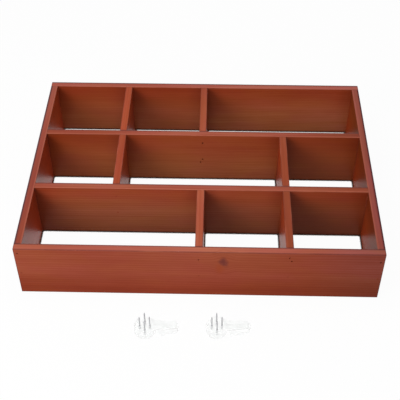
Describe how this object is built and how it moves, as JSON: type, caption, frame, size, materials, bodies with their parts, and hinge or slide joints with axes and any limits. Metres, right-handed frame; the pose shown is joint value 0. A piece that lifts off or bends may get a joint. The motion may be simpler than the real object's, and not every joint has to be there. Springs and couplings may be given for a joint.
{
  "type": "wall cubby shelf",
  "caption": "Open wooden wall shelf of nailed boards with staggered square and wide cubbies and no back, shown lying on its back with its nail-on plastic wall hooks.",
  "frame": {"origin": "middle of the top board's back edge, on the wall plane", "axes": "+X to the right seen from the front, +Y up the wall, +Z out of the wall and, as the shelf lies on its back in the picture, up from the floor"},
  "size_m": [0.38, 0.3395, 0.068],
  "materials": {
    "stained_wood": "satin red-brown stain",
    "nail_steel": "dark, stained over",
    "hook_plastic": "moulded white",
    "pin_steel": "dark hardened steel"
  },
  "bodies": {
    "shelf": {"top_board": "stained_wood", "bottom_board": "stained_wood", "left_side": "stained_wood", "right_side": "stained_wood", "upper_shelf": "stained_wood", "lower_shelf": "stained_wood", "top_row_left_divider": "stained_wood", "top_row_middle_divider": "stained_wood", "middle_row_left_divider": "stained_wood", "middle_row_right_divider": "stained_wood", "bottom_row_middle_divider": "stained_wood", "bottom_row_right_divider": "stained_wood", "top_board_nails": "nail_steel", "bottom_board_nails": "nail_steel", "left_side_nails": "nail_steel", "right_side_nails": "nail_steel", "upper_shelf_nails": "nail_steel", "lower_shelf_nails": "nail_steel"},
    "left_wall_hook": {"left_hook": "hook_plastic", "left_hook_pins": "pin_steel"},
    "right_wall_hook": {"right_hook": "hook_plastic", "right_hook_pins": "pin_steel"}
  },
  "joints": [
    {"name": "left_hook_lift", "type": "slide", "parent": "shelf", "child": "left_wall_hook", "axis": [0, 0, 1], "range_m": [0, 0.1]},
    {"name": "right_hook_lift", "type": "slide", "parent": "shelf", "child": "right_wall_hook", "axis": [0, 0, 1], "range_m": [0, 0.1]}
  ]
}
